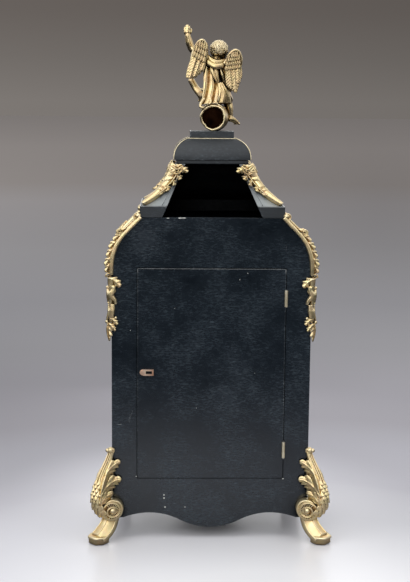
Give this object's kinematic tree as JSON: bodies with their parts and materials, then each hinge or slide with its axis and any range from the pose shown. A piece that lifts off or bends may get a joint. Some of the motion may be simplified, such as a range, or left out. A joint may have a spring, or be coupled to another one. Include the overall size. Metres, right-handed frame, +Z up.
{
  "type": "bracket clock",
  "caption": "Ebonised bracket clock with gilt corner mounts, splayed feet, pagoda roof, winged putto finial, glazed front door, dial, spring-driven movement, bell and pendulum.",
  "frame": {"origin": "on the floor under the middle of the case", "axes": "+Z up, the glazed front faces -Y and the plain back faces +Y"},
  "size_m": [0.3482, 0.2131, 0.7196],
  "materials": {
    "ebonised_wood": "worn black polish with fine crackle",
    "gilt_bronze": "cast, chased and gilded, dark in the hollows",
    "brass": "machined brass",
    "bell_metal": "turned bell metal",
    "steel": "polished steel",
    "enamel": "white enamel",
    "glass": "clear flat glass"
  },
  "bodies": {
    "case": {"back_panel": "ebonised_wood", "front_panel": "ebonised_wood", "side_panels": "ebonised_wood", "case_floor": "ebonised_wood", "roof_base": "ebonised_wood", "roof_shell": "ebonised_wood", "roof_mounts": "gilt_bronze", "crown_moulding": "ebonised_wood", "crown_cap": "ebonised_wood", "finial_plinth": "ebonised_wood", "hinge_case_leaves": "brass", "hinge_pins": "steel", "shoulder_mounts": "gilt_bronze", "feet_rear": "gilt_bronze", "feet_front": "gilt_bronze", "barrel_seat": "gilt_bronze", "putto_figure": "gilt_bronze", "putto_wings": "gilt_bronze", "dial_board": "ebonised_wood", "dial_plate": "gilt_bronze", "numeral_plaques": "enamel", "dial_feet": "brass", "movement_front_plate": "brass", "movement_back_plate": "brass", "plate_pillars": "brass", "back_cock": "brass", "bell": "bell_metal", "bell_stand": "steel"},
    "rear_door": {"rear_door": "ebonised_wood", "rear_hinge_leaves": "brass", "rear_catch_rose": "brass"},
    "rear_catch": {"rear_catch": "brass"},
    "front_door": {"front_door": "ebonised_wood", "front_glass": "glass", "front_hinge_leaves": "brass", "front_catch_rose": "brass"},
    "front_catch": {"front_catch": "brass"},
    "minute_hand": {"minute_hand": "steel", "cannon_pinion": "brass", "hand_nut": "steel"},
    "minute_wheel": {"minute_wheel": "brass"},
    "hour_hand": {"hour_hand": "steel", "hour_wheel": "brass"},
    "third_wheel": {"third_wheel": "brass"},
    "centre_wheel": {"centre_wheel": "brass"},
    "link_wheel": {"link_wheel": "brass"},
    "going_barrel": {"going_barrel": "brass", "going_mainspring": "steel"},
    "escape_wheel": {"escape_wheel": "brass"},
    "going_arbor": {"going_arbor": "steel"},
    "strike_arbor": {"strike_arbor": "steel"},
    "strike_barrel": {"strike_barrel": "brass", "strike_mainspring": "steel"},
    "pin_wheel": {"pin_wheel": "brass"},
    "fly": {"fly": "brass"},
    "hammer": {"hammer": "steel"},
    "pendulum": {"pendulum_rod": "steel", "pendulum_bob": "gilt_bronze"},
    "pallet_anchor": {"pallet_anchor": "steel"},
    "rating_nut": {"rating_nut": "brass"}
  },
  "joints": [
    {"name": "rear_door_swing", "type": "hinge", "parent": "case", "child": "rear_door", "pos_m": [-0.1029, 0.0714, 0.238], "axis": [0, 0, 1], "range_deg": [0, 110]},
    {"name": "rear_catch_turn", "type": "hinge", "parent": "rear_door", "child": "rear_catch", "pos_m": [0.0949, 0.07, 0.2408], "axis": [0, -1, 0], "range_deg": [0, 90]},
    {"name": "front_door_swing", "type": "hinge", "parent": "case", "child": "front_door", "pos_m": [-0.0975, -0.0714, 0.192], "axis": [0, 0, -1], "range_deg": [0, 110]},
    {"name": "front_catch_turn", "type": "hinge", "parent": "front_door", "child": "front_catch", "pos_m": [0.0895, -0.07, 0.245], "axis": [0, -1, 0], "range_deg": [0, 90]},
    {"name": "minute_hand_turn", "type": "hinge", "parent": "case", "child": "minute_hand", "pos_m": [0, -0.05, 0.292], "axis": [0, 1, 0], "continuous": true},
    {"name": "minute_wheel_turn", "type": "hinge", "parent": "case", "child": "minute_wheel", "pos_m": [0.01128, -0.03, 0.2961], "axis": [0, 1, 0], "continuous": true},
    {"name": "hour_hand_turn", "type": "hinge", "parent": "case", "child": "hour_hand", "pos_m": [0, -0.048, 0.292], "axis": [0, 1, 0], "continuous": true},
    {"name": "third_wheel_turn", "type": "hinge", "parent": "case", "child": "third_wheel", "pos_m": [-0.00848, 0, 0.31018], "axis": [0, 1, 0], "continuous": true},
    {"name": "centre_wheel_turn", "type": "hinge", "parent": "case", "child": "centre_wheel", "pos_m": [0, 0, 0.292], "axis": [0, 1, 0], "continuous": true},
    {"name": "link_wheel_turn", "type": "hinge", "parent": "case", "child": "link_wheel", "pos_m": [0.00284, 0, 0.2717], "axis": [0, 1, 0], "continuous": true},
    {"name": "going_barrel_turn", "type": "hinge", "parent": "case", "child": "going_barrel", "pos_m": [0.026, -0.015, 0.278], "axis": [0, 1, 0], "continuous": true},
    {"name": "escape_wheel_turn", "type": "hinge", "parent": "case", "child": "escape_wheel", "pos_m": [0, 0, 0.32434], "axis": [0, 1, 0], "continuous": true},
    {"name": "going_winding", "type": "hinge", "parent": "case", "child": "going_arbor", "pos_m": [0.026, 0, 0.278], "axis": [0, 1, 0], "continuous": true},
    {"name": "strike_winding", "type": "hinge", "parent": "case", "child": "strike_arbor", "pos_m": [-0.026, 0, 0.278], "axis": [0, 1, 0], "continuous": true},
    {"name": "strike_barrel_turn", "type": "hinge", "parent": "case", "child": "strike_barrel", "pos_m": [-0.026, -0.015, 0.278], "axis": [0, 1, 0], "continuous": true},
    {"name": "pin_wheel_turn", "type": "hinge", "parent": "case", "child": "pin_wheel", "pos_m": [-0.03576, 0, 0.29993], "axis": [0, 1, 0], "continuous": true},
    {"name": "fly_turn", "type": "hinge", "parent": "case", "child": "fly", "pos_m": [-0.03319, 0, 0.3145], "axis": [0, 1, 0], "continuous": true},
    {"name": "hammer_lift", "type": "hinge", "parent": "case", "child": "hammer", "pos_m": [-0.049, 0.02, 0.314], "axis": [0, 1, 0], "range_deg": [0, 14]},
    {"name": "pendulum_swing", "type": "hinge", "parent": "case", "child": "pendulum", "pos_m": [0, 0.0215, 0.34054], "axis": [0, 1, 0], "range_deg": [-4, 4]},
    {"name": "anchor_rock", "type": "hinge", "parent": "case", "child": "pallet_anchor", "pos_m": [0, 0, 0.34054], "axis": [0, 1, 0], "range_deg": [-4, 4]},
    {"name": "rating_nut_turn", "type": "hinge", "parent": "pendulum", "child": "rating_nut", "pos_m": [0, 0.0215, 0.13804], "axis": [0, 0, 1], "continuous": true}
  ],
  "couplings": [
    {"joint": "minute_wheel_turn", "follows": "minute_hand_turn", "ratio": -0.33333},
    {"joint": "hour_hand_turn", "follows": "minute_hand_turn", "ratio": 0.083333},
    {"joint": "centre_wheel_turn", "follows": "third_wheel_turn", "ratio": -0.092593},
    {"joint": "link_wheel_turn", "follows": "third_wheel_turn", "ratio": 0.01286},
    {"joint": "going_barrel_turn", "follows": "third_wheel_turn", "ratio": -0.0018372},
    {"joint": "escape_wheel_turn", "follows": "third_wheel_turn", "ratio": -10},
    {"joint": "pin_wheel_turn", "follows": "strike_barrel_turn", "ratio": -7},
    {"joint": "fly_turn", "follows": "strike_barrel_turn", "ratio": 44.8},
    {"joint": "anchor_rock", "follows": "pendulum_swing", "ratio": 1}
  ]
}
